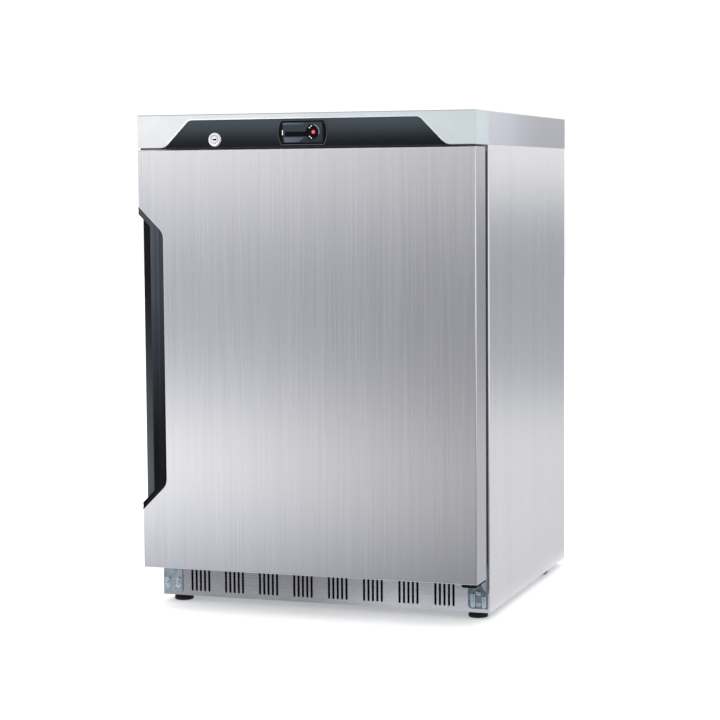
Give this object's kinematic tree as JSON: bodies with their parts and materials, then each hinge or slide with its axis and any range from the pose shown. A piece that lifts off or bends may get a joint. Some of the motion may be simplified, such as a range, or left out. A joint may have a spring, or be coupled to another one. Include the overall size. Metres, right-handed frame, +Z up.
{
  "type": "undercounter refrigerator",
  "caption": "Undercounter refrigerator: brushed steel box, solid hinged door with recessed side handle, control strip above, louvred kick grille below.",
  "frame": {"origin": "on the floor, under the centre of the appliance's bounding box", "axes": "+Z up, the door faces -Y, +X towards the hinge side"},
  "size_m": [0.6, 0.63, 0.855],
  "materials": {
    "brushed_steel": "brushed",
    "galvanised": "satin",
    "frame_paint": "satin",
    "liner_abs": "satin",
    "pu_foam": "matte",
    "core_board": "matte",
    "light_plastic": "satin",
    "black_plastic": "satin",
    "fascia_black": "satin",
    "controller_trim": "gloss",
    "dark_lens": "gloss",
    "key_plastic": "gloss",
    "board_green": "satin",
    "lock_metal": "polished",
    "zinc": "satin",
    "black_enamel": "gloss",
    "rubber_black": "matte",
    "gasket_rubber": "matte",
    "copper_tube": "satin",
    "fin_aluminium": "satin",
    "fan_plastic": "satin",
    "shelf_wire": "satin",
    "roller_plastic": "satin",
    "bush_nylon": "satin"
  },
  "bodies": {
    "cabinet": {"side_panel_left": "brushed_steel", "side_panel_right": "brushed_steel", "back_panel": "galvanised", "base_deck": "galvanised", "front_frame": "frame_paint", "inner_liner": "liner_abs", "cabinet_foam": "pu_foam", "base_pan": "galvanised", "worktop": "brushed_steel", "worktop_core": "core_board", "control_moulding": "light_plastic", "control_fascia": "fascia_black", "controller_case": "black_plastic", "controller_frame": "controller_trim", "controller_lens": "dark_lens", "control_board": "board_green", "lock_housing": "lock_metal", "upper_hinge_bracket": "galvanised", "lower_hinge_bracket": "galvanised", "hinge_pins": "zinc", "spare_hinge_plate": "galvanised", "case_screws": "zinc", "kick_grille": "brushed_steel", "roller_brackets": "galvanised", "compressor": "black_enamel", "compressor_mounts": "rubber_black", "condenser": "black_enamel", "condenser_fan_motor": "fan_plastic", "filter_drier": "copper_tube", "refrigerant_pipes": "copper_tube", "evaporator": "fin_aluminium", "evaporator_cover": "liner_abs", "evaporator_fan_motor": "fan_plastic", "drain_tube": "liner_abs", "evaporation_pan": "black_plastic", "temperature_probe": "zinc", "shelf_clips": "liner_abs", "rear_grille": "galvanised", "cord_gland": "black_plastic"},
    "door": {"door_skin": "brushed_steel", "door_foam": "pu_foam", "door_inner_panel": "liner_abs", "door_gasket": "gasket_rubber", "handle_moulding": "black_plastic", "hinge_bushes": "bush_nylon", "lock_keeper": "zinc"},
    "lock": {"lock_cylinder": "lock_metal", "lock_cam": "zinc"},
    "key_select": {"key_select": "dark_lens"},
    "key_up": {"key_up": "key_plastic"},
    "key_down": {"key_down": "key_plastic"},
    "front_foot_left": {"front_foot_left": "rubber_black"},
    "front_foot_right": {"front_foot_right": "rubber_black"},
    "rear_roller_left": {"rear_roller_left": "roller_plastic"},
    "rear_roller_right": {"rear_roller_right": "roller_plastic"},
    "condenser_fan": {"condenser_fan": "fan_plastic"},
    "evaporator_fan": {"evaporator_fan": "fan_plastic"},
    "shelf_upper": {"shelf_upper": "shelf_wire"},
    "shelf_lower": {"shelf_lower": "shelf_wire"}
  },
  "joints": [
    {"name": "door_hinge", "type": "hinge", "parent": "cabinet", "child": "door", "pos_m": [0.276, -0.285, 0.4], "axis": [0, 0, 1], "range_deg": [0, 115]},
    {"name": "lock_turn", "type": "hinge", "parent": "cabinet", "child": "lock", "pos_m": [-0.157, -0.3, 0.812], "axis": [0, 1, 0], "range_deg": [0, 90]},
    {"name": "key_select_press", "type": "slide", "parent": "cabinet", "child": "key_select", "axis": [0, 1, 0], "range_m": [0, 0.0006], "stiffness_N_per_m": 800, "springref_m": -0.0005},
    {"name": "key_up_press", "type": "slide", "parent": "cabinet", "child": "key_up", "axis": [0, 1, 0], "range_m": [0, 0.0006], "stiffness_N_per_m": 800, "springref_m": -0.0005},
    {"name": "key_down_press", "type": "slide", "parent": "cabinet", "child": "key_down", "axis": [0, 1, 0], "range_m": [0, 0.0006], "stiffness_N_per_m": 800, "springref_m": -0.0005},
    {"name": "front_foot_left_adjust", "type": "slide", "parent": "cabinet", "child": "front_foot_left", "axis": [0, 0, -1], "range_m": [0, 0.012]},
    {"name": "front_foot_right_adjust", "type": "slide", "parent": "cabinet", "child": "front_foot_right", "axis": [0, 0, -1], "range_m": [0, 0.012]},
    {"name": "rear_roller_left_spin", "type": "hinge", "parent": "cabinet", "child": "rear_roller_left", "pos_m": [-0.2825, 0.2, 0.024], "axis": [1, 0, 0], "continuous": true},
    {"name": "rear_roller_right_spin", "type": "hinge", "parent": "cabinet", "child": "rear_roller_right", "pos_m": [0.2825, 0.2, 0.024], "axis": [1, 0, 0], "continuous": true},
    {"name": "condenser_fan_spin", "type": "hinge", "parent": "cabinet", "child": "condenser_fan", "pos_m": [0.14, 0.168, 0.12], "axis": [0, 1, 0], "continuous": true},
    {"name": "evaporator_fan_spin", "type": "hinge", "parent": "cabinet", "child": "evaporator_fan", "pos_m": [0, 0.212, 0.65], "axis": [0, 1, 0], "continuous": true},
    {"name": "shelf_upper_slide", "type": "slide", "parent": "cabinet", "child": "shelf_upper", "axis": [0, -1, 0], "range_m": [0, 0.03]},
    {"name": "shelf_lower_slide", "type": "slide", "parent": "cabinet", "child": "shelf_lower", "axis": [0, -1, 0], "range_m": [0, 0.03]}
  ]
}
